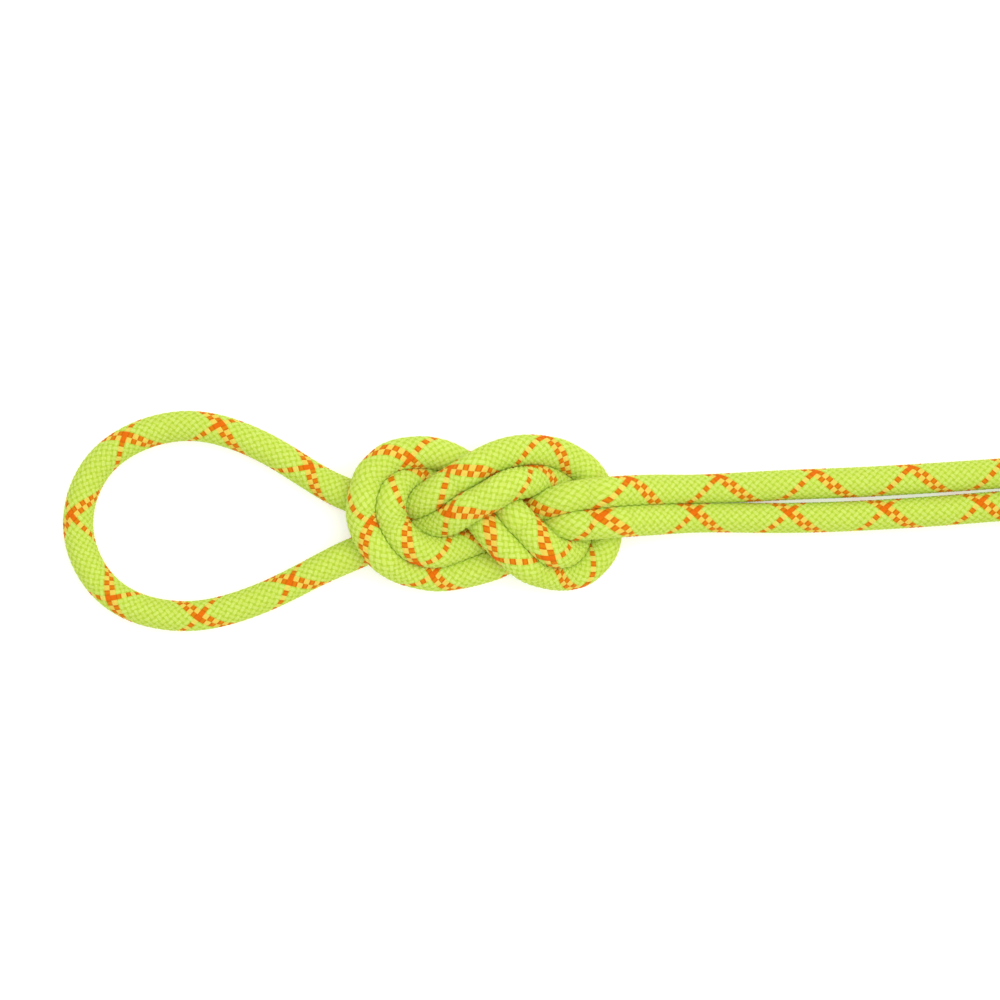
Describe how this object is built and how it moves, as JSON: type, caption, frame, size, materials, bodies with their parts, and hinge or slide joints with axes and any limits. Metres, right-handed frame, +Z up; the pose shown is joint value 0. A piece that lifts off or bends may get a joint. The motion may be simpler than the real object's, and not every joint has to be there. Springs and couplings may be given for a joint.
{
  "type": "dynamic climbing rope",
  "caption": "Dynamic single climbing rope with a figure-eight loop knot laid flat, the rest wound into an oblong hank held by straps.",
  "frame": {"origin": "middle of the hank's flat underside, on the floor", "axes": "+X along the hank's runs and the standing strands, away from the knot; +Y across them; +Z up from the floor"},
  "size_m": [0.7174, 0.1683, 0.1586],
  "materials": {
    "sheath": "neon green polyamide braid with two orange tracers",
    "core": "white twisted polyamide yarn",
    "marker_tape": "plain thin tape",
    "sleeve": "satin black heat-shrink tube",
    "tip": "melted and set yarn ends",
    "strap": "dark grey woven webbing",
    "strap_tab": "black hook-and-loop tape"
  },
  "bodies": {
    "root": {"sheath": "sheath", "core_strand_1": "core", "core_strand_2": "core", "core_strand_3": "core", "core_strand_4": "core", "core_strand_5": "core", "core_strand_6": "core", "core_strand_7": "core", "core_strand_8": "core", "core_strand_9": "core", "marker_tape": "marker_tape", "tail_sleeve": "sleeve", "tail_tip": "tip", "rope_hank": "sheath", "rope_end": "sheath", "hank_end_sleeve": "sleeve", "hank_end_tip": "tip", "strap_1": "strap", "strap_1_tab": "strap_tab", "strap_2": "strap", "strap_2_tab": "strap_tab"}
  },
  "joints": []
}
